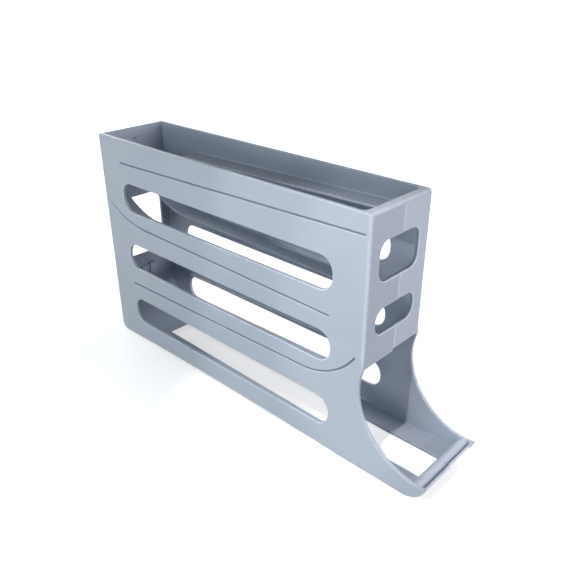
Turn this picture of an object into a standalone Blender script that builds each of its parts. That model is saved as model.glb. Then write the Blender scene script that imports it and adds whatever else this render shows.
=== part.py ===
"""Rolling egg dispenser: two moulded plastic halves that join at the middle.

Frame: +X towards the exit, +Y towards the right half, +Z up, in metres.
The origin is at the centre of the base, on the surface that it stands on.
Each half is a side panel with its walls, ledges and guides. Eggs roll down
four sloping tiers, to and fro, and come out in the tray at the front.
"""

import math

import bmesh
import bpy

# Overall body: rear face to front wall, height at the rim, and exit tray
BODY_LENGTH = 0.3105
BODY_WIDTH = 0.0720
BODY_HEIGHT = 0.2055
EXIT_REACH = 0.0600
LIP_HEIGHT = 0.0150
NOSE_RADIUS = 0.0200
REAR_CORNER_RADIUS = 0.0080
ARCH_RISE = 0.0022
ARCH_REAR_INSET = 0.0120
ARCH_FRONT_INSET = 0.0105

# Exit curve: how far it first heads back and down from the front wall, and
# how far forward and up it is heading when it reaches the lip
EXIT_START_BACK = 0.0126
EXIT_START_DOWN = 0.0370
EXIT_END_FORWARD = 0.0390
EXIT_END_UP = 0.0059

# Walls
PANEL_THICKNESS = 0.0030
FRONT_WALL_THICKNESS = 0.0030
REAR_WALL_THICKNESS = 0.0030
FRONT_RIM_WIDTH = 0.0077
FRONT_RIM_THICKNESS = 0.0028
FRONT_RIM_ROUNDING = 0.0012
LEDGE_THICKNESS = 0.0020
LEDGE_REACH = 0.0190

# Joint between the two halves: half-lapped walls and a running clearance
CLEARANCE = 0.0003
SEAM_LAP = 0.0018

# Tier floors at the rear face and at the front face, as shares of the rim's
# height, and the lowest floor's height at the rear
TIER_1_REAR_SHARE = 0.8891
TIER_1_FRONT_SHARE = 0.9270
TIER_2_REAR_SHARE = 0.6151
TIER_2_FRONT_SHARE = 0.5830
TIER_3_REAR_SHARE = 0.3012
TIER_3_FRONT_SHARE = 0.3304
TIER_4_REAR_HEIGHT = 0.0077
DROP_LENGTH = 0.0520

# Curved guides at the ends of the tiers; how far each runs along its floor
# is a share of its radius
REAR_GUIDE_RADIUS = 0.0920
REAR_GUIDE_RUN_SHARE = 0.598
FRONT_GUIDE_RADIUS = 0.0620
FRONT_GUIDE_RUN_SHARE = 0.895
CHUTE_RADIUS = 0.0550
CHUTE_RUN_SHARE = 0.909

# Long slots in each side panel, with their tops and heights as shares of the
# rim's height, and the largest round corner as a share of an opening's height
SLOT_REAR_MARGIN = 0.0300
SLOT_FRONT_MARGIN = 0.0302
SLOT_CORNER_RADIUS = 0.0120
CORNER_HEIGHT_SHARE = 0.47
SLOT_1_TOP_SHARE = 0.8063
SLOT_1_HEIGHT_SHARE = 0.1304
SLOT_2_TOP_SHARE = 0.5144
SLOT_2_HEIGHT_SHARE = 0.1246
SLOT_3_TOP_SHARE = 0.2282
SLOT_3_HEIGHT_SHARE = 0.1255

# Grooves engraved on the outside along the tier floors
GROOVE_WIDTH = 0.0016
GROOVE_DEPTH = 0.0007
GROOVE_REAR_MARGIN = 0.0309
GROOVE_REAR_GUIDE_MARGIN = 0.0080
GROOVE_FRONT_MARGIN = 0.0042
GROOVE_2_FRONT_MARGIN = 0.0324
GROOVE_3_FRONT_MARGIN = 0.0074

# Windows in the front wall and the lower edge of that wall; heights are
# shares of the rim's height
WINDOW_SIDE_MARGIN = 0.0125
WINDOW_CORNER_RADIUS = 0.0090
UPPER_WINDOW_TOP_SHARE = 0.8856
UPPER_WINDOW_HEIGHT_SHARE = 0.1484
LOWER_WINDOW_TOP_SHARE = 0.6350
LOWER_WINDOW_HEIGHT_SHARE = 0.1022
FRONT_WALL_BOTTOM_SHARE = 0.4248
FRONT_WALL_STEP = 0.0017

# Opening in the rear wall, from the band above it to the sill below it
REAR_BAND_SHARE = 0.6691
REAR_SILL_SHARE = 0.3674
REAR_POST_WIDTH = 0.0090

# Bar across the lip of the exit tray
BAR_WIDTH = 0.0098
BAR_TOP_DROP = 0.0005
BAR_WALL = 0.0020
BAR_REAR_OFFSET = 0.0136
BAR_FOOT_HEIGHT = 0.0005
LIP_EDGE_THICKNESS = 0.0024
LIP_EDGE_DROP = 0.0008
LIP_EDGE_HEIGHT = 0.0048
LIP_GROOVE_DEPTH = 0.0034
LIP_STEP = 0.0008

# Snap tabs on the left half and the bridges on the right half that hold them
TAB_HEIGHT = 0.0080
TAB_THICKNESS = 0.0016
TAB_ROOT_LENGTH = 0.0080
TAB_ROOT_PAD = 0.0060
TAB_TIP_LENGTH = 0.0070
BRIDGE_WALL = 0.0014
BRIDGE_SETBACK = 0.0010
BRIDGE_LENGTH = 0.0070
LOWER_REAR_TAB_SHARE = 0.26
UPPER_REAR_TAB_SHARE = 0.78

# Cutters pass this far beyond what they cut
OVERRUN = 0.0040

# Facets of a quarter circle and of the longer curves, and the least angle
# between two faces that shows as an edge
CORNER_STEPS = 8
CURVE_STEPS = 14
EDGE_ANGLE = math.radians(30)

# Blue-grey polypropylene, linear colour
PLASTIC_COLOUR = (0.40, 0.49, 0.58, 1.0)
PLASTIC_ROUGHNESS = 0.42

SIDES = ("left", "right")

# Heights above the table that follow the rim's height
FRONT_WALL_BOTTOM = BODY_HEIGHT * FRONT_WALL_BOTTOM_SHARE
REAR_BAND_BOTTOM = BODY_HEIGHT * REAR_BAND_SHARE
REAR_SILL = BODY_HEIGHT * REAR_SILL_SHARE

OVERALL_LENGTH = BODY_LENGTH + EXIT_REACH
ORIGIN_X = OVERALL_LENGTH / 2
INNER_SIDE = BODY_WIDTH / 2 - PANEL_THICKNESS
INNER_FRONT = BODY_LENGTH - FRONT_WALL_THICKNESS
LEDGE_EDGE = INNER_SIDE - LEDGE_REACH
HALF_GAP = CLEARANCE / 2

# Distances from the rear face at which the curved guides meet their floors
REAR_GUIDE_START = REAR_WALL_THICKNESS + REAR_GUIDE_RADIUS * REAR_GUIDE_RUN_SHARE
FRONT_GUIDE_START = INNER_FRONT - FRONT_GUIDE_RADIUS * FRONT_GUIDE_RUN_SHARE
CHUTE_START = REAR_WALL_THICKNESS + CHUTE_RADIUS * CHUTE_RUN_SHARE


def across(side, distance):
    """Y at a distance from the middle: the left half lies towards -Y."""
    if side == "left":
        return -distance
    return distance


def line_height(rear_share, front_share, x):
    """Height of a tier floor at a distance from the rear face."""
    share = rear_share + (front_share - rear_share) * x / BODY_LENGTH
    return BODY_HEIGHT * share


def tier_1_height(x):
    return line_height(TIER_1_REAR_SHARE, TIER_1_FRONT_SHARE, x)


def tier_2_height(x):
    return line_height(TIER_2_REAR_SHARE, TIER_2_FRONT_SHARE, x)


def tier_3_height(x):
    return line_height(TIER_3_REAR_SHARE, TIER_3_FRONT_SHARE, x)


def tier_4_height(x):
    """The lowest floor slopes to the exit tray and is level from there."""
    tray_start = BODY_LENGTH - ARCH_FRONT_INSET
    share = min(x / tray_start, 1.0)
    return TIER_4_REAR_HEIGHT + (LEDGE_THICKNESS - TIER_4_REAR_HEIGHT) * share


def arc_points(centre, radius, start, end, steps):
    """Points on a circle; angles in radians, counted from +x towards +y."""
    points = []
    for step in range(steps + 1):
        angle = start + (end - start) * step / steps
        points.append((
            centre[0] + radius * math.cos(angle),
            centre[1] + radius * math.sin(angle),
        ))
    return points


def rounded_box(low, high, radius):
    """Outline of a rectangle with four equal round corners."""
    centres = (
        (high[0] - radius, high[1] - radius),
        (low[0] + radius, high[1] - radius),
        (low[0] + radius, low[1] + radius),
        (high[0] - radius, low[1] + radius),
    )
    outline = []
    for quarter, centre in enumerate(centres):
        start = quarter * math.pi / 2
        outline += arc_points(centre, radius, start, start + math.pi / 2, CORNER_STEPS)
    return outline


def guide_curve(tangent_x, floor_height, radius, end_x, offset=0.0):
    """Arc that leaves a tier floor at tangent_x and rises to end_x.

    The offset moves the curve outward, to the underside of the guide.
    """
    slope = math.atan2(
        floor_height(BODY_LENGTH) - floor_height(0.0), BODY_LENGTH
    )
    centre_x = tangent_x - radius * math.sin(slope)
    centre_z = floor_height(tangent_x) + radius * math.cos(slope)
    reach = radius + offset
    end_angle = math.asin((end_x - centre_x) / reach)
    return arc_points(
        (centre_x, centre_z),
        reach,
        slope - math.pi / 2,
        end_angle - math.pi / 2,
        CURVE_STEPS,
    )


def strip(upper, lower):
    """Closed outline between an upper line and the line below it."""
    return list(upper) + list(reversed(lower))


def plastic(name):
    """Moulded polypropylene for one piece."""
    material = bpy.data.materials.new(name)
    material.use_nodes = True
    shader = material.node_tree.nodes["Principled BSDF"]
    shader.inputs["Base Color"].default_value = PLASTIC_COLOUR
    shader.inputs["Roughness"].default_value = PLASTIC_ROUGHNESS
    shader.inputs["Metallic"].default_value = 0.0
    return material


def place(axis, point, along):
    """World position of an outline point for a prism along an axis."""
    if axis == "X":
        return (along - ORIGIN_X, point[0], point[1])
    if axis == "Y":
        return (point[0] - ORIGIN_X, along, point[1])
    return (point[0] - ORIGIN_X, point[1], along)


def prism(name, outline, axis, ends):
    """Solid made by an outline moved along X, Y or Z between two ends."""
    low = min(ends)
    high = max(ends)
    shape = bmesh.new()
    bottom = [shape.verts.new(place(axis, point, low)) for point in outline]
    top = [shape.verts.new(place(axis, point, high)) for point in outline]
    shape.faces.new(bottom)
    shape.faces.new(top)
    count = len(outline)
    for index in range(count):
        following = (index + 1) % count
        shape.faces.new((bottom[index], bottom[following], top[following], top[index]))
    bmesh.ops.recalc_face_normals(shape, faces=shape.faces)
    mesh = bpy.data.meshes.new(name)
    shape.to_mesh(mesh)
    shape.free()
    piece = bpy.data.objects.new(name, mesh)
    bpy.context.scene.collection.objects.link(piece)
    return piece


def solid(name, outline, axis, ends):
    """A prism that is one piece of the object, with its own material."""
    piece = prism(name, outline, axis, ends)
    piece.data.materials.append(plastic(name))
    piece.data.shade_smooth()
    piece.data.set_sharp_from_angle(angle=EDGE_ANGLE)
    return piece


def cut(piece, cutter):
    """Take the cutter's shape out of a piece."""
    cutter.hide_render = True
    cutter.display_type = "WIRE"
    boolean = piece.modifiers.new(cutter.name, "BOOLEAN")
    boolean.operation = "DIFFERENCE"
    boolean.solver = "EXACT"
    boolean.object = cutter


def half_width(side):
    """Y span from a panel's inner face to just short of the middle."""
    return (across(side, INNER_SIDE), across(side, HALF_GAP))


def panel_outline():
    """Side view of a panel: foot, arched base, nose, exit curve and rim."""
    corner = REAR_CORNER_RADIUS
    outline = [(0.0, BODY_HEIGHT)]
    outline += arc_points((corner, corner), corner, math.pi, math.pi * 1.5, CORNER_STEPS)
    arch_start = ARCH_REAR_INSET
    arch_end = BODY_LENGTH - ARCH_FRONT_INSET
    for step in range(CURVE_STEPS + 1):
        share = step / CURVE_STEPS
        rise = ARCH_RISE * 4 * share * (1 - share)
        outline.append((arch_start + (arch_end - arch_start) * share, rise))
    outline += nose_curve(0.0, LIP_HEIGHT)
    outline += exit_curve()[1:]
    outline.append((BODY_LENGTH, BODY_HEIGHT))
    return outline


def exit_curve():
    """Hollow curve from the lip's tip up to the bottom of the front wall."""
    wall = (BODY_LENGTH, FRONT_WALL_BOTTOM)
    lip = (OVERALL_LENGTH, LIP_HEIGHT)
    controls = (
        lip,
        (lip[0] - EXIT_END_FORWARD, lip[1] - EXIT_END_UP),
        (wall[0] - EXIT_START_BACK, wall[1] - EXIT_START_DOWN),
        wall,
    )
    points = []
    steps = 2 * CURVE_STEPS
    for step in range(steps + 1):
        share = step / steps
        rest = 1 - share
        weights = (rest ** 3, 3 * rest ** 2 * share, 3 * rest * share ** 2, share ** 3)
        points.append(tuple(
            sum(weight * control[axis] for weight, control in zip(weights, controls))
            for axis in range(2)
        ))
    return points


def nose_centre_x():
    """The nose is an arc through the lip's tip that ends level on the base."""
    below = NOSE_RADIUS - LIP_HEIGHT
    return OVERALL_LENGTH - math.sqrt(NOSE_RADIUS ** 2 - below ** 2)


def nose_curve(low, high):
    """Points up the nose between two heights."""
    start = math.asin((low - NOSE_RADIUS) / NOSE_RADIUS)
    end = math.asin((high - NOSE_RADIUS) / NOSE_RADIUS)
    return arc_points((nose_centre_x(), NOSE_RADIUS), NOSE_RADIUS, start, end, CORNER_STEPS)


def cut_slots(side, panel):
    """Three long round-ended slots show the eggs on each lower tier."""
    ends = (across(side, BODY_WIDTH / 2 + OVERRUN), across(side, INNER_SIDE - OVERRUN))
    slots = (
        (SLOT_1_TOP_SHARE, SLOT_1_HEIGHT_SHARE),
        (SLOT_2_TOP_SHARE, SLOT_2_HEIGHT_SHARE),
        (SLOT_3_TOP_SHARE, SLOT_3_HEIGHT_SHARE),
    )
    for number, (top_share, height_share) in enumerate(slots, start=1):
        top = BODY_HEIGHT * top_share
        slot_height = BODY_HEIGHT * height_share
        outline = rounded_box(
            (SLOT_REAR_MARGIN, top - slot_height),
            (BODY_LENGTH - SLOT_FRONT_MARGIN, top),
            min(SLOT_CORNER_RADIUS, slot_height * CORNER_HEIGHT_SHARE),
        )
        cut(panel, prism(f"{side}_slot_{number}_cutter", outline, "Y", ends))


def widened(path):
    """Outline of a band of the groove's width along a path."""
    upper = []
    lower = []
    befores = path[:1] + path[:-1]
    afters = path[1:] + path[-1:]
    for before, point, after in zip(befores, path, afters):
        run = after[0] - before[0]
        rise = after[1] - before[1]
        scale = GROOVE_WIDTH / 2 / math.hypot(run, rise)
        upper.append((point[0] - rise * scale, point[1] + run * scale))
        lower.append((point[0] + rise * scale, point[1] - run * scale))
    return strip(upper, lower)


def groove_paths():
    """Lines along the tier floors, with the curves of the end guides."""
    first = [
        (x, tier_1_height(x))
        for x in (GROOVE_REAR_MARGIN, BODY_LENGTH - GROOVE_FRONT_MARGIN)
    ]
    second = guide_curve(
        REAR_GUIDE_START, tier_2_height, REAR_GUIDE_RADIUS, GROOVE_REAR_GUIDE_MARGIN
    )
    second.reverse()
    second_end = BODY_LENGTH - GROOVE_2_FRONT_MARGIN
    second.append((second_end, tier_2_height(second_end)))
    third = [(GROOVE_REAR_MARGIN, tier_3_height(GROOVE_REAR_MARGIN))]
    third += guide_curve(
        FRONT_GUIDE_START,
        tier_3_height,
        FRONT_GUIDE_RADIUS,
        BODY_LENGTH - GROOVE_3_FRONT_MARGIN,
    )
    return (first, second, third)


def cut_grooves(side, panel):
    face = BODY_WIDTH / 2
    ends = (across(side, face + OVERRUN), across(side, face - GROOVE_DEPTH))
    for number, path in enumerate(groove_paths(), start=1):
        cutter = prism(f"{side}_groove_{number}_cutter", widened(path), "Y", ends)
        cut(panel, cutter)


def side_panel(side):
    ends = (across(side, INNER_SIDE), across(side, BODY_WIDTH / 2))
    panel = solid(f"{side}_side_panel", panel_outline(), "Y", ends)
    cut_slots(side, panel)
    cut_grooves(side, panel)


def front_rim(side):
    """Inward flange along the top of the front wall."""
    radius = FRONT_RIM_ROUNDING
    top = BODY_HEIGHT
    bottom = BODY_HEIGHT - FRONT_RIM_THICKNESS
    rear = BODY_LENGTH - FRONT_RIM_WIDTH
    outline = [(BODY_LENGTH, bottom)]
    outline += arc_points(
        (BODY_LENGTH - radius, top - radius), radius, 0.0, math.pi / 2, CORNER_STEPS
    )
    outline += arc_points(
        (rear + radius, top - radius), radius, math.pi / 2, math.pi, CORNER_STEPS
    )
    outline.append((rear, bottom))
    solid(f"{side}_front_rim", outline, "Y", half_width(side))


def lapped_wall(side, outer, inner):
    """Plan of one half of a wall whose halves lap at the middle.

    The left half's tongue is the outer layer, and the right half is cut
    back to take it.
    """
    middle = (outer + inner) / 2
    gap = math.copysign(HALF_GAP, inner - outer)
    if side == "left":
        return [
            (outer, -INNER_SIDE),
            (outer, SEAM_LAP),
            (middle - gap, SEAM_LAP),
            (middle - gap, -HALF_GAP),
            (inner, -HALF_GAP),
            (inner, -INNER_SIDE),
        ]
    return [
        (outer, INNER_SIDE),
        (outer, SEAM_LAP + CLEARANCE),
        (middle + gap, SEAM_LAP + CLEARANCE),
        (middle + gap, HALF_GAP),
        (inner, HALF_GAP),
        (inner, INNER_SIDE),
    ]


def front_wall_bottom(side):
    """The left half of the front wall reaches a little lower."""
    if side == "left":
        return FRONT_WALL_BOTTOM
    return FRONT_WALL_BOTTOM + FRONT_WALL_STEP


def front_wall(side):
    outline = lapped_wall(side, BODY_LENGTH, INNER_FRONT)
    ends = (front_wall_bottom(side), BODY_HEIGHT - FRONT_RIM_THICKNESS)
    wall = solid(f"{side}_front_wall", outline, "Z", ends)
    reach_across = BODY_WIDTH / 2 - WINDOW_SIDE_MARGIN
    windows = (
        ("upper", UPPER_WINDOW_TOP_SHARE, UPPER_WINDOW_HEIGHT_SHARE),
        ("lower", LOWER_WINDOW_TOP_SHARE, LOWER_WINDOW_HEIGHT_SHARE),
    )
    for level, top_share, height_share in windows:
        top = BODY_HEIGHT * top_share
        window_height = BODY_HEIGHT * height_share
        window = rounded_box(
            (-reach_across, top - window_height),
            (reach_across, top),
            min(WINDOW_CORNER_RADIUS, window_height * CORNER_HEIGHT_SHARE),
        )
        reach = (INNER_FRONT - OVERRUN, BODY_LENGTH + OVERRUN)
        cut(wall, prism(f"{side}_{level}_window_cutter", window, "X", reach))
    if side == "left":
        notch = [
            (0.0, front_wall_bottom("left") - OVERRUN),
            (SEAM_LAP + OVERRUN, front_wall_bottom("left") - OVERRUN),
            (SEAM_LAP + OVERRUN, front_wall_bottom("right")),
            (0.0, front_wall_bottom("right")),
        ]
        reach = (INNER_FRONT - OVERRUN, BODY_LENGTH + OVERRUN)
        cut(wall, prism("left_front_notch_cutter", notch, "X", reach))


def rear_band(side):
    """Closed upper band of the rear wall."""
    outline = lapped_wall(side, 0.0, REAR_WALL_THICKNESS)
    solid(f"{side}_rear_band", outline, "Z", (REAR_BAND_BOTTOM, BODY_HEIGHT))


def rear_post(side):
    """Strip of the rear wall beside its opening."""
    outline = [
        (0.0, REAR_SILL),
        (REAR_WALL_THICKNESS, REAR_SILL),
        (REAR_WALL_THICKNESS, REAR_BAND_BOTTOM),
        (0.0, REAR_BAND_BOTTOM),
    ]
    ends = (across(side, INNER_SIDE), across(side, INNER_SIDE - REAR_POST_WIDTH))
    solid(f"{side}_rear_post", outline, "Y", ends)


def rear_chute(side):
    """Closed lower rear wall that curves into the lowest floor."""
    inner = guide_curve(CHUTE_START, tier_4_height, CHUTE_RADIUS, REAR_WALL_THICKNESS)
    outer = guide_curve(
        CHUTE_START, tier_4_height, CHUTE_RADIUS, 0.0, offset=LEDGE_THICKNESS
    )
    inner[0] = (CHUTE_START, inner[0][1])
    outer[0] = (CHUTE_START, outer[0][1])
    outline = inner + [(REAR_WALL_THICKNESS, REAR_SILL), (0.0, REAR_SILL)]
    outline += list(reversed(outer))
    solid(f"{side}_rear_chute", outline, "Y", half_width(side))


def ledge(side, name, upper, lower):
    """A shelf along the inside of a panel, with the middle left open."""
    ends = (across(side, INNER_SIDE), across(side, LEDGE_EDGE))
    solid(f"{side}_{name}", strip(upper, lower), "Y", ends)


def straight_ledge(side, name, floor_height, start, end):
    upper = [(x, floor_height(x)) for x in (start, end)]
    lower = [(x, z - LEDGE_THICKNESS) for x, z in upper]
    ledge(side, name, upper, lower)


def curved_guide(side, name, floor_height, radius, tangent, wall_x):
    upper = guide_curve(tangent, floor_height, radius, wall_x)
    lower = guide_curve(tangent, floor_height, radius, wall_x, offset=LEDGE_THICKNESS)
    upper[0] = (tangent, floor_height(tangent))
    lower[0] = (tangent, floor_height(tangent) - LEDGE_THICKNESS)
    ledge(side, name, upper, lower)


def tiers(side):
    drop_front = REAR_WALL_THICKNESS + DROP_LENGTH
    drop_rear = INNER_FRONT - DROP_LENGTH
    straight_ledge(side, "tier_1_ledge", tier_1_height, drop_front, INNER_FRONT)
    curved_guide(
        side,
        "tier_2_rear_guide",
        tier_2_height,
        REAR_GUIDE_RADIUS,
        REAR_GUIDE_START,
        REAR_WALL_THICKNESS,
    )
    straight_ledge(side, "tier_2_ledge", tier_2_height, REAR_GUIDE_START, drop_rear)
    straight_ledge(side, "tier_3_ledge", tier_3_height, drop_front, FRONT_GUIDE_START)
    curved_guide(
        side,
        "tier_3_front_guide",
        tier_3_height,
        FRONT_GUIDE_RADIUS,
        FRONT_GUIDE_START,
        INNER_FRONT,
    )
    tray_start = BODY_LENGTH - ARCH_FRONT_INSET
    straight_ledge(side, "tier_4_ledge", tier_4_height, CHUTE_START, tray_start)
    straight_ledge(side, "exit_floor", tier_4_height, tray_start, bar_rear_x())


def bar_rear_x():
    return OVERALL_LENGTH - BAR_REAR_OFFSET


def bar_hollow():
    """Corners of the space under the bar: rear, front and ceiling."""
    return (
        bar_rear_x() + BAR_WALL,
        bar_rear_x() + BAR_WIDTH - BAR_WALL,
        LIP_HEIGHT - BAR_TOP_DROP - BAR_WALL,
    )


def lip_bar(side):
    """Hollow half-round bar, a narrow groove and the outer lip edge."""
    step = 0.0
    if side == "right":
        step = LIP_STEP
    radius = BAR_WIDTH / 2
    top = LIP_HEIGHT - BAR_TOP_DROP
    centre = (bar_rear_x() + radius, top - radius)
    groove_bottom = top - LIP_GROOVE_DEPTH
    edge_top = LIP_HEIGHT - LIP_EDGE_DROP
    edge_bottom = edge_top - LIP_EDGE_HEIGHT
    hollow_rear, hollow_front, ceiling = bar_hollow()
    groove_angle = math.asin((groove_bottom - centre[1]) / radius)
    outline = [(bar_rear_x(), BAR_FOOT_HEIGHT)]
    outline += arc_points(centre, radius, math.pi, groove_angle, 2 * CORNER_STEPS)
    nose = [(x - step, z) for x, z in nose_curve(edge_bottom, edge_top)]
    edge_inner = nose[-1][0] - LIP_EDGE_THICKNESS
    outline += [(edge_inner, groove_bottom), (edge_inner, edge_top)]
    outline += list(reversed(nose))
    outline += [
        (hollow_front, edge_bottom),
        (hollow_front, ceiling),
        (hollow_rear, ceiling),
        (hollow_rear, BAR_FOOT_HEIGHT),
    ]
    solid(f"{side}_lip_bar", outline, "Y", half_width(side))


def tab_levels():
    """Middle height of each snap tab, in the solid bands of the walls."""
    rim_bottom = BODY_HEIGHT - FRONT_RIM_THICKNESS
    upper_top = BODY_HEIGHT * UPPER_WINDOW_TOP_SHARE
    upper_bottom = upper_top - BODY_HEIGHT * UPPER_WINDOW_HEIGHT_SHARE
    lower_top = BODY_HEIGHT * LOWER_WINDOW_TOP_SHARE
    lower_bottom = lower_top - BODY_HEIGHT * LOWER_WINDOW_HEIGHT_SHARE
    band_height = BODY_HEIGHT - REAR_BAND_BOTTOM
    return (
        ("front_top", (rim_bottom + upper_top) / 2),
        ("front_middle", (upper_bottom + lower_top) / 2),
        ("front_low", (lower_bottom + FRONT_WALL_BOTTOM) / 2),
        ("rear_top", REAR_BAND_BOTTOM + band_height * UPPER_REAR_TAB_SHARE),
        ("rear_middle", REAR_BAND_BOTTOM + band_height * LOWER_REAR_TAB_SHARE),
        ("rear_low", (REAR_SILL + chute_wall_height()) / 2),
    )


def chute_wall_height():
    """Height at which the chute's curve leaves the rear wall."""
    curve = guide_curve(CHUTE_START, tier_4_height, CHUTE_RADIUS, REAR_WALL_THICKNESS)
    return curve[-1][1]


def inner_x(name, depth):
    """X at a depth inwards from the inner face of the wall with a tab."""
    if name.startswith("front"):
        return INNER_FRONT - depth
    return REAR_WALL_THICKNESS + depth


def snap_tab(name, level):
    """Flat tongue on the left wall that reaches behind the right wall."""
    face = inner_x(name, 0.0)
    near = inner_x(name, CLEARANCE)
    far = inner_x(name, CLEARANCE + TAB_THICKNESS)
    outline = [
        (face, -TAB_ROOT_LENGTH),
        (face, -TAB_ROOT_LENGTH + TAB_ROOT_PAD),
        (near, -TAB_ROOT_LENGTH + TAB_ROOT_PAD),
        (near, TAB_TIP_LENGTH),
        (far, TAB_TIP_LENGTH),
        (far, -TAB_ROOT_LENGTH),
    ]
    solid(f"left_tab_{name}", outline, "Z", (level - TAB_HEIGHT / 2, level + TAB_HEIGHT / 2))


def snap_bridge(name, level):
    """Staple on the right wall that the tab slides into."""
    depth = TAB_THICKNESS + 2 * CLEARANCE
    face = inner_x(name, 0.0)
    inside = inner_x(name, depth)
    outside = inner_x(name, depth + BRIDGE_WALL)
    half = TAB_HEIGHT / 2 + CLEARANCE
    outline = [
        (face, level + half + BRIDGE_WALL),
        (face, level + half),
        (inside, level + half),
        (inside, level - half),
        (face, level - half),
        (face, level - half - BRIDGE_WALL),
        (outside, level - half - BRIDGE_WALL),
        (outside, level + half + BRIDGE_WALL),
    ]
    ends = (BRIDGE_SETBACK, BRIDGE_SETBACK + BRIDGE_LENGTH)
    solid(f"right_bridge_{name}", outline, "Y", ends)


def lip_tab():
    """Tongue under the left bar's ceiling that enters the right bar."""
    hollow_rear, hollow_front, ceiling = bar_hollow()
    top = ceiling - CLEARANCE
    bottom = top - TAB_THICKNESS
    outline = [
        (-TAB_ROOT_LENGTH, ceiling),
        (-TAB_ROOT_LENGTH + TAB_ROOT_PAD, ceiling),
        (-TAB_ROOT_LENGTH + TAB_ROOT_PAD, top),
        (TAB_TIP_LENGTH, top),
        (TAB_TIP_LENGTH, bottom),
        (-TAB_ROOT_LENGTH, bottom),
    ]
    ends = (hollow_rear + CLEARANCE, hollow_front - CLEARANCE)
    solid("left_tab_lip", outline, "X", ends)


def build():
    for thing in list(bpy.data.objects):
        bpy.data.objects.remove(thing, do_unlink=True)
    for side in SIDES:
        side_panel(side)
        front_rim(side)
        front_wall(side)
        rear_band(side)
        rear_post(side)
        rear_chute(side)
        tiers(side)
        lip_bar(side)
    for name, level in tab_levels():
        snap_tab(name, level)
        snap_bridge(name, level)
    lip_tab()


build()
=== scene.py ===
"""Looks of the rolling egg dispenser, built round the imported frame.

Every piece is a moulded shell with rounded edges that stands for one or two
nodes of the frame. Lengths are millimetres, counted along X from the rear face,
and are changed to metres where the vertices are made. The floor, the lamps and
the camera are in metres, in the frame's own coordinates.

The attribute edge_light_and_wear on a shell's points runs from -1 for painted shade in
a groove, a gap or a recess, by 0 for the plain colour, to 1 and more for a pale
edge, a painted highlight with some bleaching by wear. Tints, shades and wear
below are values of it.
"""

import math

import bmesh
import bpy
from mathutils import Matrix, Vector
from mathutils.geometry import tessellate_polygon


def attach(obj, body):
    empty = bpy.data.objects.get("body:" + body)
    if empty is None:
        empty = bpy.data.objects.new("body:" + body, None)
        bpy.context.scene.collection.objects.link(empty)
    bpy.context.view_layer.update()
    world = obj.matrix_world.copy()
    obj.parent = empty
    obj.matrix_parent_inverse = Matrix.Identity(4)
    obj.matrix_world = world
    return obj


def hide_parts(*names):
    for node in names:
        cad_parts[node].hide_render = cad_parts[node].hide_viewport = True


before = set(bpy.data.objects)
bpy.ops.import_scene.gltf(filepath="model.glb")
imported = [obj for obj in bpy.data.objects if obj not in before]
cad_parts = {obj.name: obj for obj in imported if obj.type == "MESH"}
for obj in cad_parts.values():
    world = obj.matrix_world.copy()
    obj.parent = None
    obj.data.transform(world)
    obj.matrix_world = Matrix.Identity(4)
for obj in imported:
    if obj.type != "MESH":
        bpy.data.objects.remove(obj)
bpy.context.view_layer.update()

MM = 0.001
# Lengths that differ by less than this are the same
NEAR = 0.01
# A unit normal with a larger share along an axis than this faces that way
FACING = 0.9
# Direction along Y from the seam to each half's panel
OUTWARD = {"left": -1.0, "right": 1.0}

# Body: LENGTH is without the exit tray and OVERALL with it, and HALF and SIDE
# are the distances of a panel's two faces from the middle
LENGTH = 310.5
OVERALL = 370.5
HEIGHT = 205.5
HALF = 36.0
SIDE = 33.0
WALL = 3.0
INNER_FRONT = LENGTH - WALL
# The frame's origin is in the middle of the overall length
ORIGIN_X = OVERALL / 2
FOOT_RADIUS = 8.0
ARCH_START = 12.0
ARCH_END = 300.0
ARCH_RISE = 2.2
ARCH_STEPS = 24
WALL_BOTTOM = 87.3
WALL_STEP = 1.7

# Exit: the nose under the lip, and the hollow curve up to the front wall
LIP_HEIGHT = 15.0
LIP_START = OVERALL - 2.0
NOSE_RADIUS = 20.0
EXIT_STEPS = 44
EXIT_CONTROLS = (
    (OVERALL, LIP_HEIGHT), (331.5, 9.1), (297.9, 50.3), (LENGTH, WALL_BOTTOM)
)

# Corners of the panel's outline
TOP_REAR_CORNER = 1.4
TOP_FRONT_CORNER = 2.5
LIP_CORNER = 0.7
EXIT_CORNER = 6.0

# A fillet takes at most this share of each edge beside it
FILLET_SHARE = 0.49
# Where the sine of a turn is more than this, moved edges are made to cross
SHARP_SINE = 0.4

# Roundings of edges
EDGE_STEPS = 4
FRONT_EDGE = 2.5
PANEL_OUTER = 0.9
PANEL_INNER = 0.5
OPENING_EDGE = 0.8
WINDOW_EDGE = 1.0
LIP_EDGE = 0.6
END_EDGE = 0.2
# The panel's front edge grows to its full rounding over this height
EDGE_GROWTH = 14.0
GROWTH_STEPS = 7
# A wider rounding than this is less pale
PALE_WIDTH = 1.6
# Painted shade on the inner faces, which lie in shade inside the rack
INNER_PAINTED_SHADE = -0.25
# The rounded edge of the hollow exit curve has only a faint pale edge, a weak painted
# highlight with little wear, from here to the front
EXIT_EDGE_HIGHLIGHT = 0.2
EXIT_HIGHLIGHT_START = LENGTH - 8.0

# The pieces reach this far into the panels, to where the panels' own inner
# rounding ends
JOIN = SIDE + PANEL_INNER
# Lapped seam: where each half's outer and inner layers end, along Y
SEAM = 1.8
GAP = 0.3
OUTER_SEAM = {"left": SEAM, "right": SEAM + GAP}
INNER_SEAM = {"left": -GAP / 2, "right": GAP / 2}

# Floors: height at the rear face and at the front face
TIERS = {1: (182.7, 190.5), 2: (126.4, 119.8), 3: (61.9, 67.9), 4: (7.7, 2.0)}
# Curved guides: where the arc leaves the floor, and its radius
GUIDES = {2: (58.016, 92.0), 3: (252.01, 62.0), 4: (52.995, 55.0)}
GUIDE_STEPS = 20
CHUTE_STEPS = 26

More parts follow.
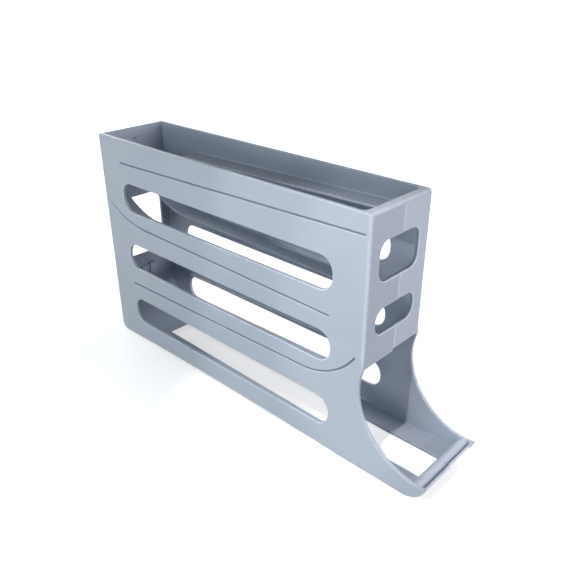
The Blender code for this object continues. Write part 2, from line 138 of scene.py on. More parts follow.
# Ledges
LEDGE_THICKNESS = 2.0
LEDGE_EDGE = 14.0
LEDGE_ROUND = 0.85
LEDGE_ROUND_STEPS = 5
LEDGE_FILLET = 0.9
LEDGE_FILLET_STEPS = 4
LEDGE_CORNER = 0.95
DROP = 52.0
# Ledges and the exit floor reach this far into walls and the lip bar
SUNK = 0.5
# Undersides lower than this lie flat on the surface that the rack stands on
STANDING = 3.0
# Points between the ends of a ledge, and the nodes that it stands for
LEDGE_POINTS = {1: (120.0, 240.0), 2: (150.0,), 3: (150.0,), 4: (170.0, ARCH_END)}
LEDGE_NODES = {
    1: ("tier_1_ledge",),
    2: ("tier_2_rear_guide", "tier_2_ledge"),
    3: ("tier_3_ledge", "tier_3_front_guide"),
    4: ("tier_4_ledge", "exit_floor"),
}

# Slots in the panels, and windows in the front wall: top and height of each
SLOTS = ((165.7, 26.8), (105.7, 25.6), (46.9, 25.8))
SLOT_ENDS = (30.0, 280.3)
SLOT_RADIUS = 12.0
WINDOWS = ((182.0, 30.5), (130.5, 21.0))
WINDOW_HALF = 23.5
WINDOW_RADIUS = 9.0

# Grooves along the first three floors, each with a start and an end
GROOVE_STARTS = {1: 30.9, 2: 8.0, 3: 30.9}
GROOVE_ENDS = {1: LENGTH - 4.2, 2: LENGTH - 32.4, 3: LENGTH - 7.4}
GROOVE_MIDDLE = 168.0
GROOVE_WIDTH = 2.3
# Inset, depth and edge_light_and_wear of each ring of a groove, and of the gate mark: a
# painted highlight on a groove's lower lip and painted shade deep in it, and a faint
# ring of painted shade round the gate mark's pip, which has a painted highlight
GROOVE_PROFILE = (
    (0.0, 0.0, 0.0), (0.05, 0.01, 0.9), (0.2, 0.06, 1.0), (0.38, 0.24, 0.5),
    (0.48, 0.6, -0.6), (0.6, 1.7, -1.0), (0.75, 1.8, -1.0),
)
# The second groove is shallow at its rear end
FADE_START = 4.0
FADE_LENGTH = 60.0
FADE_LEAST = 0.15
GATE_PLACE = (153.0, HEIGHT - 8.9)
GATE_RADIUS = 3.0
GATE_STEPS = 20
GATE_PROFILE = (
    (0.0, 0.0, 0.0), (0.5, 0.05, -0.1), (1.2, 0.16, -0.25), (1.9, 0.18, -0.3),
    (2.1, 0.02, 0.6), (2.35, -0.12, 1.0),
)

# Front wall and its rim
SEAM_EDGES = {"left": 0.5, "right": 1.3}
# Painted shade on the left half's seam edge, the shadow of the gap, and a painted
# highlight on the right half's
SEAM_SHADE_AND_HIGHLIGHT = {"left": -0.5, "right": 1.0}
# The left half's face is darker and the right half's paler
WALL_SHADES = {"left": -0.2, "right": 0.2}
# Painted highlight round the windows' outer edges and along the wall's bottom edge,
# painted shade on the windows' inner walls
WINDOW_HIGHLIGHT = 0.7
WINDOW_INNER_SHADE = -0.6
WALL_BOTTOM_HIGHLIGHT = 0.5
RIM_UNDERSIDE = HEIGHT - 2.8
RIM_REAR = LENGTH - 7.7
RIM_CORNER = 5.0
RIM_EDGE = 1.1
RIM_LOWER_EDGE = 0.5
# The rim's rounded edges get a stronger painted highlight, and its top face, which
# faces up, painted light
RIM_EDGE_HIGHLIGHT = 1.5
RIM_TOP_LIGHT = 0.45

# Rear wall
BAND_BOTTOM = 137.5
SILL = 75.5
POST_EDGE = 24.0
POST_OVERLAP = 1.0
REAR_CORNER = 6.0

# Lip bar: a hollow half-round bar, a groove and an upright strip at the edge
BAR_REAR = OVERALL - 13.6
BAR_WIDTH = 9.8
BAR_WALL = 2.0
BAR_TOP = LIP_HEIGHT - 0.5
BAR_FOOT = 0.5
BAR_CEILING = BAR_TOP - BAR_WALL
BAR_CORNER = 0.35
# The bar's upper half is paler: painted light where it faces up, and some rub where the
# eggs roll
BAR_TOP_LIGHT_AND_RUB = 0.15
LIP_GROOVE_BOTTOM = BAR_TOP - 3.4
# Painted shade low in the groove in front of the bar
LIP_GROOVE_SHADE = -0.8
# Painted shade lies this high in the groove, which starts this far from the bar's
# middle
LIP_SHADE_HEIGHT = 0.5
LIP_GROOVE_START = 2.0
STRIP_TOP = LIP_HEIGHT - 0.8
STRIP_BOTTOM = STRIP_TOP - 4.8
STRIP_THICKNESS = 1.9
STRIP_CORNER = 0.7
# Painted highlight on the top of the upright strip
STRIP_HIGHLIGHT = 0.65
STRIP_SETBACKS = {"left": 0.0, "right": 0.8}

# Tabs that hold the two halves together: names and middle heights
TAB_LEVELS = (
    ("front_top", 192.35), ("front_middle", 141.0), ("front_low", 98.4),
    ("rear_top", 190.54), ("rear_middle", 155.18), ("rear_low", 58.3),
)
TAB_HEIGHT = 8.0
TAB_THICKNESS = 1.6
TAB_ROOT = -8.0
TAB_PAD_END = -2.0
TAB_TIP = 7.0
# The tip narrows over this length, by these depths on its two faces
TAB_LEAD = 1.4
TAB_LEAD_NEAR = 0.45
TAB_LEAD_FAR = 0.2
TAB_EDGE = 0.45
TAB_CORNER = 0.5
# What is closer than this to the wall that carries it isn't rounded
TAB_FOOT = 0.2
BRIDGE_WALL = 1.4
BRIDGE_SPAN = (1.0, 8.0)

# Meshes: metres between points that are merged, and degrees of a sharp edge
MERGE_DISTANCE = 0.000002
SHARP_ANGLE = 48.0
NORMAL_WEIGHT = 50

# Colours of the plastic
DARKER = (0.385, 0.445, 0.535, 1.0)
LIGHTER = (0.445, 0.500, 0.590, 1.0)
# Pale edges are painted highlight with some bleaching by wear; the dark colour is
# painted shade in grooves, gaps and inner faces
HIGHLIGHT_AND_BLEACH = (0.66, 0.74, 0.88, 1.0)
PAINTED_SHADE = (0.14, 0.175, 0.27, 1.0)

# Square lamps: name, place, side, power and colour, in metres and watts
LAMP_TARGET = (0.05, 0.0, 0.1)
LAMPS = (
    ("side", (-0.16, -1.0, 0.10), 0.4, 2.9, (0.94, 1.0, 0.985)),
    ("high_side", (-0.16, -0.85, 0.6), 0.4, 2.5, (0.93, 1.0, 0.99)),
    ("corner", (0.38, -0.75, 0.22), 0.3, 2.0, (1.0, 1.0, 1.0)),
    ("front", (1.0, 0.20, 0.35), 0.3, 5.3, (1.0, 0.965, 1.0)),
    ("right", (0.0, 1.1, 0.40), 0.5, 7.5, (1.0, 1.0, 1.0)),
    ("back", (-1.2, 0.35, 0.5), 0.6, 5.0, (1.0, 1.0, 1.0)),
    ("rear", (-1.1, -1.1, 0.2), 0.8, 1.5, (0.95, 1.0, 1.0)),
)
# Two spots brighten the front half of the near panel in two steps: name, place,
# target, angle in degrees, blend, power and colour
SPOTS = (
    ("wide", (0.13, -0.6, 1.1), (0.0768, -0.036, 0.06), 13.4, 0.2, 16.5,
     (1.0, 0.97, 0.955)),
    ("narrow", (0.13, -0.6, 0.9), (0.1148, -0.036, 0.11), 9.0, 0.3, 9.5,
     (1.0, 0.93, 0.925)),
)
SPOT_RADIUS = 0.015

# Surroundings
WHITE = (1.0, 1.0, 1.0, 1.0)
WORLD_COLOUR = (0.85, 0.88, 1.0, 1.0)
WORLD_STRENGTH = 0.015
FLOOR_COLOUR = (0.15, 0.15, 0.16, 1.0)
SEEN_FLOOR_COLOUR = (0.92, 0.92, 0.92, 1.0)
# The floor that is seen grows brighter between these distances from the middle
GLOW_DISTANCES = (0.1, 0.6)
GLOW_STRENGTHS = (0.5, 1.0)
FLOOR_HALF = 14.0
FLOOR_HEIGHT = -0.0003

CAMERA_PLACE = (0.34425, -0.347, 0.3465)
CAMERA_AIM = (-0.6082, 0.6506, -0.4547)
CAMERA_LENS = 40.1
CAMERA_SENSOR = 36.0


def constant(value):
    """Function that gives the same value for every point and edge."""
    return lambda *place: value


def near(one, two):
    return abs(one - two) < NEAR


def clamped(value):
    return max(0.0, min(1.0, value))


def arc(centre, radius, start, end, steps):
    """Points of an arc between two angles in radians."""
    points = []
    for step in range(steps + 1):
        angle = start + (end - start) * step / steps
        points.append((
            centre[0] + radius * math.cos(angle),
            centre[1] + radius * math.sin(angle),
        ))
    return points


def rounded_box(low, high, radius, steps=12):
    centres = (
        (high[0] - radius, high[1] - radius),
        (low[0] + radius, high[1] - radius),
        (low[0] + radius, low[1] + radius),
        (high[0] - radius, low[1] + radius),
    )
    loop = []
    for quarter, centre in enumerate(centres):
        start = quarter * math.pi / 2
        loop += arc(centre, radius, start, start + math.pi / 2, steps)
    return loop


def floor_height(tier, x):
    """Height of a floor; the lowest one is level in front of the arch."""
    rear, front = TIERS[tier]
    if tier == 4:
        return rear + (front - rear) * min(x / ARCH_END, 1.0)
    return rear + (front - rear) * x / LENGTH


def on_floor(tier, xs, below=0.0):
    return [(x, floor_height(tier, x) - below) for x in xs]


def guide(tier, end_x, below=0.0, steps=GUIDE_STEPS):
    """Arc that leaves a floor and rises to end_x, or a line below that arc."""
    start_x, radius = GUIDES[tier]
    slope = math.atan2(floor_height(tier, LENGTH) - floor_height(tier, 0.0), LENGTH)
    centre_x = start_x - radius * math.sin(slope)
    centre_z = floor_height(tier, start_x) + radius * math.cos(slope)
    reach = radius + below
    end = math.asin((end_x - centre_x) / reach)
    points = arc(
        (centre_x, centre_z), reach, slope - math.pi / 2, end - math.pi / 2, steps
    )
    points[0] = (start_x, points[0][1])
    return points


def turn_at(before, here, after):
    """Signed change of direction at a corner, in radians."""
    first = math.atan2(here[1] - before[1], here[0] - before[0])
    second = math.atan2(after[1] - here[1], after[0] - here[0])
    return (second - first + math.pi) % (2 * math.pi) - math.pi


def filleted(loop, radius_at, least_turn=0.3, steps=6):
    """Round every sharp corner of a loop; radius_at gives each radius."""
    made = []
    count = len(loop)
    for index, here in enumerate(loop):
        before = loop[index - 1]
        after = loop[(index + 1) % count]
        turn = turn_at(before, here, after)
        radius = radius_at(here) if abs(turn) > least_turn else 0.0
        if radius <= 0.0:
            made.append(here)
            continue
        back = Vector(before) - Vector(here)
        ahead = Vector(after) - Vector(here)
        reach = radius * math.tan(abs(turn) / 2)
        reach = min(reach, FILLET_SHARE * back.length, FILLET_SHARE * ahead.length)
        radius = reach / math.tan(abs(turn) / 2)
        start = Vector(here) + back.normalized() * reach
        side = 1.0 if turn > 0 else -1.0
        heading = -back.normalized()
        centre = start + Vector((-heading.y, heading.x)) * radius * side
        first = math.atan2(start.y - centre.y, start.x - centre.x)
        made += arc(centre, radius, first, first + turn, steps)
    return made


def is_ccw(loop):
    total = 0.0
    for index, point in enumerate(loop):
        before = loop[index - 1]
        total += before[0] * point[1] - point[0] * before[1]
    return total > 0.0


def wound(loop, ccw):
    """The loop in counterclockwise order, or in clockwise order if ccw is false."""
    return list(loop) if is_ccw(loop) == ccw else list(reversed(loop))


def edge_data(loop):
    """Middle and outward normal of the edge that follows each vertex."""
    data = []
    count = len(loop)
    for index, here in enumerate(loop):
        after = loop[(index + 1) % count]
        run = after[0] - here[0]
        rise = after[1] - here[1]
        length = math.hypot(run, rise) or 1.0
        middle = ((here[0] + after[0]) / 2, (here[1] + after[1]) / 2)
        data.append((middle, (rise / length, -run / length)))
    return data


def moved(loop, amounts):
    """The loop with each edge moved outward by its own amount."""
    data = edge_data(loop)
    made = []
    for index, here in enumerate(loop):
        first = data[index - 1][1]
        second = data[index][1]
        one = amounts[index - 1]
        two = amounts[index]
        cross = first[0] * second[1] - first[1] * second[0]
        dot = first[0] * second[0] + first[1] * second[1]
        if abs(cross) > SHARP_SINE:
            across = (one * second[1] - two * first[1]) / cross
            up = (two * first[0] - one * second[0]) / cross
        else:
            scale = (one + two) / 2 / (1.0 + dot)
            across = (first[0] + second[0]) * scale
            up = (first[1] + second[1]) * scale
        made.append((here[0] + across, here[1] + up))
    return made


class Shell:
    """Closed surface made of rings that follow flat loops along one axis.

    A rounding is a function of an edge's middle and normal that gives its
    radius. Wear and tint are functions of a point: wear is the share of the
    paleness of a rounded edge, a painted highlight with some wear, and tint is a
    edge_light_and_wear value of its own.
    """

    def __init__(self, axis):
        self.axis = "XYZ".index(axis)
        self.points = []
        self.light_and_wear = []
        self.faces = []

    def ring(self, loop, depths, light_and_wear):
        """Add a loop's points at their depths along the axis; returns their numbers."""
        first = len(self.points)
        for point, depth in zip(loop, depths):
            place = list(point)
            place.insert(self.axis, depth)
            x, y, z = place
            self.points.append(((x - ORIGIN_X) * MM, y * MM, z * MM))
        self.light_and_wear += light_and_wear
        return list(range(first, first + len(loop)))

    def bridge(self, rings):
        """Add the faces between each ring and the next one."""
        for one, two in zip(rings, rings[1:]):
            for index in range(len(one)):
                after = (index + 1) % len(one)
                self.faces.append((one[index], one[after], two[after], two[index]))

    def cap(self, *outlines):
        """A flat face; each outline is a pair of a ring and its loop."""
        numbers = [number for ring, loop in outlines for number in ring]
        flat = [[Vector((u, v, 0.0)) for u, v in loop] for ring, loop in outlines]
        for triangle in tessellate_polygon(flat):
            self.faces.append(tuple(numbers[corner] for corner in triangle))

    def stations(self, loop, end, way, rounding, wear, tint, shade):
        """Loop, depths and edge_light_and_wear values of each ring at a plate's end.

        They run from the flat face, which has the shade, to where its rounding
        is over. way is 1.0 or -1.0, towards the inside of the plate.
        """
        radii = [rounding(middle, normal) for middle, normal in edge_data(loop)]
        deepest = [max(radii[index - 1], radii[index]) for index in range(len(loop))]
        widest = max(radii)
        if widest == 0.0:
            return [(loop, [end] * len(loop), [tint(point) for point in loop])]
        made = []
        for step in range(EDGE_STEPS + 1):
            angle = math.pi / 2 * step / EDGE_STEPS
            line = moved(loop, [-radius * (1.0 - math.sin(angle)) for radius in radii])
            inward = way * (1.0 - math.cos(angle))
            depths = [end + inward * radius for radius in deepest]
            # Paleness peaks halfway round a rounded edge: a painted highlight, with
            # some wear
            pale = math.sin(2 * angle) * min(1.0, PALE_WIDTH / widest)
            light_and_wear = [
                pale * wear(point) + tint(point) if step > 0 and radius > 0.0 else shade
                for point, radius in zip(loop, deepest)
            ]
            made.append((line, depths, light_and_wear))
        return made

    def add(
        self, loops, span, rounds, pockets=(),
        wear=constant(1.0), tint=constant(0.0), shades=(0.0, 0.0),
    ):
        """A plate between two ends, its edges rounded at both.

        The first loop is the outline, and the others are holes. Pockets sink
        into the second end.
        """
        start, end = span
        way = 1.0 if end > start else -1.0
        starts, ends = [], []
        for number, loop in enumerate(loops):
            loop = wound(loop, number == 0)
            made = self.stations(loop, start, way, rounds[0], wear, tint, shades[0])
            far = self.stations(loop, end, -way, rounds[1], wear, tint, shades[1])
            made += far[::-1]
            rings = [self.ring(*station) for station in made]
            self.bridge(rings)
            starts.append((rings[0], made[0][0]))
            ends.append((rings[-1], made[-1][0]))
        for pocket in pockets:
            ends.append(self.pocket(end, way, *pocket))
        self.cap(*starts)
        self.cap(*ends)

    def pocket(self, end, way, loop, profile, depth_share, pale_share):
        """A hollow that follows a profile; returns its mouth's ring and loop."""
        loop = wound(loop, False)
        shares = [pale_share(normal) for middle, normal in edge_data(loop)]
        rings = []
        for inset, depth, light_and_wear in profile:
            line = moved(loop, [inset] * len(loop))
            depths = [end - way * depth * depth_share(point) for point in loop]
            values = [light_and_wear * share if light_and_wear > 0 else light_and_wear for share in shares]
            rings.append((self.ring(line, depths, values), line))
        self.bridge([ring for ring, line in rings])
        self.cap(rings[-1])
        return rings[0]

    def add_lapped(self, layers, middle_tint):
        """A plate of two layers, of which one reaches further at the seam.

        Each layer has its outline, plane, rounding, tint and shade. Every point
        of the narrower outline is also one of the wider, and the points that
        only the wider has come in pairs.
        """
        wide, narrow = sorted(layers, key=lambda layer: -len(layer[0]))
        outline = wound(wide[0], True)
        shared = set(narrow[0])
        middle = (wide[1] + narrow[1]) / 2
        tints = [middle_tint(point) for point in outline]
        lap = self.ring(outline, [middle] * len(outline), tints)
        numbers = dict(zip(outline, lap))
        for loop, plane, rounding, tint, shade in (wide, narrow):
            loop = wound(loop, True)
            way = 1.0 if middle > plane else -1.0
            made = self.stations(loop, plane, way, rounding, constant(1.0), tint, shade)
            rings = [self.ring(*station) for station in made]
            self.bridge(rings + [[numbers[point] for point in loop]])
            self.cap((rings[0], made[0][0]))
        for index in range(len(outline)):
            corners = [outline[(index + ahead) % len(outline)] for ahead in range(4)]
            if [corner in shared for corner in corners] == [True, False, False, True]:
                self.faces.append(tuple(numbers[corner] for corner in corners))

    def add_ledge(self, loop, side):
        """A ledge that flares where it leaves its panel and has a round edge."""
        loop = wound(loop, True)
        shares = [
            0.0 if held(middle, normal) else 1.0 for middle, normal in edge_data(loop)
        ]
        stations = [(JOIN, LEDGE_FILLET, 0.0)]
        for step in range(LEDGE_FILLET_STEPS + 1):
            angle = math.pi / 2 * step / LEDGE_FILLET_STEPS
            stations.append((
                SIDE - LEDGE_FILLET * (1.0 - math.cos(angle)),
                LEDGE_FILLET * (1.0 - math.sin(angle)),
                0.0,
            ))
        # The ledge's round edge gets a pale band: a painted highlight, with some wear
        for step in range(LEDGE_ROUND_STEPS + 1):
            angle = math.pi / 2 * step / LEDGE_ROUND_STEPS
            stations.append((
                LEDGE_EDGE + LEDGE_ROUND * (1.0 - math.sin(angle)),
                -LEDGE_ROUND * (1.0 - math.cos(angle)),
                math.sin(2 * angle),
            ))
        rings = []
        for reach, offset, light_and_wear in stations:
            line = moved(loop, [offset * share for share in shares])
            depths = [OUTWARD[side] * reach] * len(line)
            rings.append((self.ring(line, depths, [light_and_wear] * len(line)), line))
        self.bridge([ring for ring, line in rings])
        self.cap(rings[0])
        self.cap(rings[-1])

    def finish(self, name, side, *nodes):
        """Make the piece, and have it stand for nodes of its half."""
        mesh = bpy.data.meshes.new(name)
        mesh.from_pydata(self.points, [], self.faces)
        layer = mesh.attributes.new("edge_light_and_wear", "FLOAT", "POINT")
        layer.data.foreach_set("value", self.light_and_wear)
        piece = bpy.data.objects.new(name, mesh)
        bpy.context.scene.collection.objects.link(piece)
        tidy_mesh(mesh)
        mesh.materials.append(PLASTIC)
        mesh.shade_smooth()
        mesh.set_sharp_from_angle(angle=math.radians(SHARP_ANGLE))
        weighted = piece.modifiers.new("even_normals", "WEIGHTED_NORMAL")
        weighted.mode = "FACE_AREA"
        weighted.weight = NORMAL_WEIGHT
        weighted.keep_sharp = True
        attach(piece, f"{side}_moulding")
        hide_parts(*[f"{side}_{node}" for node in nodes])


def tidy_mesh(mesh):
    """Merge coincident points and turn all faces outward."""
    shape = bmesh.new()
    shape.from_mesh(mesh)
    bmesh.ops.remove_doubles(shape, verts=shape.verts, dist=MERGE_DISTANCE)
    bmesh.ops.dissolve_degenerate(shape, edges=shape.edges, dist=MERGE_DISTANCE)
    bmesh.ops.recalc_face_normals(shape, faces=shape.faces)
    shape.to_mesh(mesh)
    shape.free()


def held(middle, normal):
    """Edges of a ledge that lie in a wall or on the standing surface."""
    if middle[0] < WALL - NEAR or middle[0] > INNER_FRONT + NEAR:
        return True
    return middle[1] < STANDING and normal[1] < -FACING


def plate(name, side, node, axis, loop, span, rounds, **looks):
    """A piece that is one plate without holes."""
    shell = Shell(axis)
    shell.add([loop], span, rounds, **looks)
    shell.finish(name, side, node)


def exit_curve():
    """Bezier curve from the lip up to the front wall."""
    points = []
    for step in range(EXIT_STEPS + 1):
        share = step / EXIT_STEPS
        rest = 1.0 - share
        weights = (rest ** 3, 3 * rest ** 2 * share, 3 * rest * share ** 2, share ** 3)
        points.append(tuple(
            sum(weight * values for weight, values in zip(weights, coordinates))
            for coordinates in zip(*EXIT_CONTROLS)
        ))
    return points


def nose_curve(low, high, steps=10):
    """The rounded nose under the lip, between two heights."""
    below = NOSE_RADIUS - LIP_HEIGHT
    centre = (OVERALL - math.sqrt(NOSE_RADIUS ** 2 - below ** 2), NOSE_RADIUS)
    start = math.asin((low - NOSE_RADIUS) / NOSE_RADIUS)
    end = math.asin((high - NOSE_RADIUS) / NOSE_RADIUS)
    return arc(centre, NOSE_RADIUS, start, end, steps)


def panel_loop():
    """Outline of a side panel, as (x, z) points."""
    loop = [(0.0, HEIGHT)]
    foot = (FOOT_RADIUS, FOOT_RADIUS)
    loop += arc(foot, FOOT_RADIUS, math.pi, math.pi * 1.5, steps=10)
    for step in range(ARCH_STEPS + 1):
        share = step / ARCH_STEPS
        loop.append((
            ARCH_START + (ARCH_END - ARCH_START) * share,
            ARCH_RISE * 4 * share * (1 - share),
        ))
    loop += nose_curve(0.0, LIP_HEIGHT)
    loop += exit_curve()[1:]
    for step in range(1, GROWTH_STEPS + 1):
        loop.append((LENGTH, WALL_BOTTOM + EDGE_GROWTH * step / GROWTH_STEPS))
    loop.append((LENGTH, HEIGHT))

    def corner(point):
        if near(point[1], HEIGHT):
            return TOP_REAR_CORNER if near(point[0], 0.0) else TOP_FRONT_CORNER
        return LIP_CORNER if point[0] > LIP_START else EXIT_CORNER

    return filleted(loop, corner, steps=4)


def band(path, width):
    """Loop round a line, with round ends."""
    left, right = [], []
    befores = path[:1] + path[:-1]
    afters = path[1:] + path[-1:]
    for before, here, after in zip(befores, path, afters):
        run = after[0] - before[0]
        rise = after[1] - before[1]
        length = math.hypot(run, rise)
        across = (-rise / length * width / 2, run / length * width / 2)
        left.append((here[0] + across[0], here[1] + across[1]))
        right.append((here[0] - across[0], here[1] - across[1]))

    def end(here, start):
        first = math.atan2(start[1] - here[1], start[0] - here[0])
        return arc(here, width / 2, first, first - math.pi, steps=8)[1:-1]

    return left + end(path[-1], left[-1]) + right[::-1] + end(path[0], right[0])


def groove_paths():
    """Lines of the three grooves; two of them follow a guide at one end."""
    first = on_floor(1, (GROOVE_STARTS[1], GROOVE_MIDDLE, GROOVE_ENDS[1]))
    second = guide(2, GROOVE_STARTS[2])[::-1] + on_floor(2, (GROOVE_ENDS[2],))
    third = on_floor(3, (GROOVE_STARTS[3],)) + guide(3, GROOVE_ENDS[3])
    return first, second, third


def side_panel(side):
    """Panel with its slots, engraved grooves and gate mark."""
    loops = [panel_loop()]
    rear, front = SLOT_ENDS
    for top, height in SLOTS:
        loops.append(rounded_box((rear, top - height), (front, top), SLOT_RADIUS))

    def outer(middle, normal):
        if middle[0] > LENGTH - TOP_FRONT_CORNER - NEAR and middle[1] > WALL_BOTTOM:
            share = clamped((middle[1] - WALL_BOTTOM) / EDGE_GROWTH)
            if normal[1] > 0.0:
                share *= max(0.0, normal[0])
            return PANEL_OUTER + (FRONT_EDGE - PANEL_OUTER) * share
        return LIP_EDGE if middle[0] > LIP_START else PANEL_OUTER

    def fading(point):
        share = clamped((point[0] - FADE_START) / FADE_LENGTH)
        return FADE_LEAST + (1.0 - FADE_LEAST) * share

    # Only a groove's lower lip, which faces up, gets the painted highlight
    def lower_side(normal):
        return max(0.0, normal[1])

    # Weaker painted highlight on the edge of the exit curve
    def wear(point):
        in_exit = point[0] > EXIT_HIGHLIGHT_START and point[1] < WALL_BOTTOM
        return EXIT_EDGE_HIGHLIGHT if in_exit else 1.0

    even = constant(1.0)
    pockets = [
        (band(path, GROOVE_WIDTH), GROOVE_PROFILE, depth_share, lower_side)
        for path, depth_share in zip(groove_paths(), (even, fading, even))
    ]
    gate = arc(GATE_PLACE, GATE_RADIUS, 0.0, math.pi * 2, GATE_STEPS)[:-1]
    pockets.append((gate, GATE_PROFILE, even, even))
    span = (OUTWARD[side] * SIDE, OUTWARD[side] * HALF)
    rounds = (constant(PANEL_INNER), outer)
    shell = Shell("Y")
    shell.add(loops, span, rounds, pockets, wear=wear, shades=(INNER_PAINTED_SHADE, 0.0))
    shell.finish(f"{side}_panel_shell", side, "side_panel")


def wall_outlines(side, bottom, top, windows):
    """Outlines of the outer and inner layers of half a wall, as (y, z) points.

    One layer reaches the outer line of the seam and the other one the inner
    line. The windows run past the seam, so they are bays in the outlines. Both
    are made for the left half, and mirrored for the right one.
    """
    mirror = -OUTWARD[side]
    outer, inner = OUTER_SEAM[side] * mirror, INNER_SEAM[side] * mirror
    far, short = max(outer, inner), min(outer, inner)
    wide = [
        (far, top), (short, top), (-JOIN, top),
        (-JOIN, bottom), (short, bottom), (far, bottom),
    ]
    for window_top, height in reversed(windows):
        low = window_top - height
        radius = WINDOW_RADIUS
        centre_y = radius - WINDOW_HALF
        wide += [(far, low), (short, low)]
        lower, upper = (centre_y, low + radius), (centre_y, window_top - radius)
        wide += arc(lower, radius, -math.pi / 2, -math.pi, steps=12)
        wide += arc(upper, radius, math.pi, math.pi / 2, steps=12)
        wide += [(short, window_top), (far, window_top)]
    narrow = [point for point in wide if point[0] != far]
    outlines = (wide, narrow) if outer == far else (narrow, wide)
    return [[(y * mirror, z) for y, z in outline] for outline in outlines]


def at_panel(middle):
    """Whether an edge of a wall, with its middle as (y, z), lies in the panel."""
    return abs(middle[0]) > JOIN - NEAR


def in_window(point):
    """Whether a (y, z) point of the front wall lies on a window's edge."""
    if abs(point[0]) > WINDOW_HALF + NEAR:
        return False
    return any(top - size - NEAR < point[1] < top + NEAR for top, size in WINDOWS)


def front_wall(side):
    """Half of the windowed wall; the seam shows as a dark and a pale edge, painted
    shade and a painted highlight.
    """
    seam = OUTER_SEAM[side]
    bottom = WALL_BOTTOM if side == "left" else WALL_BOTTOM + WALL_STEP

    def outer(middle, normal):
        if near(middle[1], RIM_UNDERSIDE) or at_panel(middle):
            return 0.0
        if near(middle[0], seam):
            return SEAM_EDGES[side]
        return OPENING_EDGE if near(middle[1], bottom) else WINDOW_EDGE

    def inner(middle, normal):
        joined = near(middle[1], RIM_UNDERSIDE) or at_panel(middle)
        return 0.0 if joined else PANEL_INNER

    # Painted highlight and painted shade on the wall's edges and seam
    def outer_tint(point):
        if in_window(point):
            return WINDOW_HIGHLIGHT
        if near(point[0], seam):
            return SEAM_SHADE_AND_HIGHLIGHT[side]
        return WALL_BOTTOM_HIGHLIGHT if near(point[1], bottom) else 0.0

    def inner_tint(point):
        return WINDOW_INNER_SHADE if in_window(point) else 0.0

    def middle_tint(point):
        return outer_tint(point) if near(point[0], seam) else inner_tint(point)

    face, back = wall_outlines(side, bottom, RIM_UNDERSIDE, WINDOWS)
    layers = (
        (face, LENGTH, outer, outer_tint, WALL_SHADES[side]),
        (back, INNER_FRONT, inner, inner_tint, INNER_PAINTED_SHADE),
    )
    shell = Shell("X")
    shell.add_lapped(layers, middle_tint)
    shell.finish(f"{side}_front_wall_shell", side, "front_wall")


def front_rim(side):
    """Flange on the front wall, with soft inner corners in plan."""
    sign = OUTWARD[side]
    seam = OUTER_SEAM[side]
    plan = [(LENGTH, sign * JOIN), (LENGTH, seam), (RIM_REAR, seam)]
    centre = (RIM_REAR - RIM_CORNER, sign * (SIDE - RIM_CORNER))
    plan += arc(centre, RIM_CORNER, 0.0, sign * math.pi / 2, steps=8)
    plan.append((RIM_REAR - RIM_CORNER, sign * JOIN))

    def upper(middle, normal):
        if abs(middle[1]) > JOIN - NEAR or near(middle[1], seam):
            return 0.0
        if near(middle[0], LENGTH):
            return TOP_FRONT_CORNER
        return 0.0 if near(middle[0], RIM_REAR - RIM_CORNER) else RIM_EDGE

    def lower(middle, normal):
        if abs(normal[1]) > FACING or near(middle[0], LENGTH):
            return 0.0
        return RIM_LOWER_EDGE

    # Painted light on the top face and painted highlight on the rounded edges
    plate(
        f"{side}_front_rim_shell", side, "front_rim", "Z", plan,
        (RIM_UNDERSIDE, HEIGHT), (lower, upper),
        wear=constant(RIM_EDGE_HIGHLIGHT), shades=(0.0, RIM_TOP_LIGHT),
    )


def rear_band(side):
    """Half of the rear wall's upper part, lapped at the seam."""
    def outer(middle, normal):
        if at_panel(middle):
            return 0.0
        if near(middle[0], OUTER_SEAM[side]):
            return END_EDGE
        return TOP_REAR_CORNER if near(middle[1], HEIGHT) else OPENING_EDGE

    def inner(middle, normal):
        if at_panel(middle):
            return 0.0
        return PANEL_INNER if near(middle[1], HEIGHT) else OPENING_EDGE

    plain = constant(0.0)
    face, back = wall_outlines(side, BAND_BOTTOM, HEIGHT, ())
    layers = ((face, 0.0, outer, plain, 0.0), (back, WALL, inner, plain, 0.0))
    shell = Shell("X")
    shell.add_lapped(layers, plain)
    shell.finish(f"{side}_rear_band_shell", side, "rear_band")


def rear_post(side):
    """Wall beside the rear opening, which overlaps the band and the chute."""
    edge = POST_EDGE - REAR_CORNER
    low = SILL - POST_OVERLAP
    high = BAND_BOTTOM + POST_OVERLAP
    lower, upper = (-edge, SILL + REAR_CORNER), (-edge, BAND_BOTTOM - REAR_CORNER)
    loop = [(-JOIN, low), (-edge, low)]
    loop += arc(lower, REAR_CORNER, -math.pi / 2, -math.pi, steps=10)
    loop += arc(upper, REAR_CORNER, math.pi, math.pi / 2, steps=10)
    loop += [(-edge, high), (-JOIN, high)]
    loop = [(-OUTWARD[side] * y, z) for y, z in loop]

    def rounding(middle, normal):
        hidden = middle[1] < SILL or middle[1] > BAND_BOTTOM
        return 0.0 if hidden or at_panel(middle) else OPENING_EDGE

    plate(
        f"{side}_rear_post_shell", side, "rear_post", "X", loop,
        (WALL, 0.0), (rounding, rounding),
    )


def seam_to_panel(name, side, node, loop, **looks):
    """A piece of one section that runs from the panel to the seam."""
    span = (OUTWARD[side] * JOIN, INNER_SEAM[side])
    rounds = (constant(0.0), constant(END_EDGE))
    plate(name, side, node, "Y", loop, span, rounds, **looks)


def rear_chute(side):
    """Closed lower rear wall that curves into the lowest floor."""
    loop = guide(4, WALL, steps=CHUTE_STEPS)
    loop += [(WALL, SILL), (0.0, SILL)]
    loop += guide(4, 0.0, LEDGE_THICKNESS, CHUTE_STEPS)[::-1]
    loop = filleted(loop, constant(OPENING_EDGE), least_turn=0.9, steps=5)
    seam_to_panel(f"{side}_rear_chute_shell", side, "rear_chute", loop)


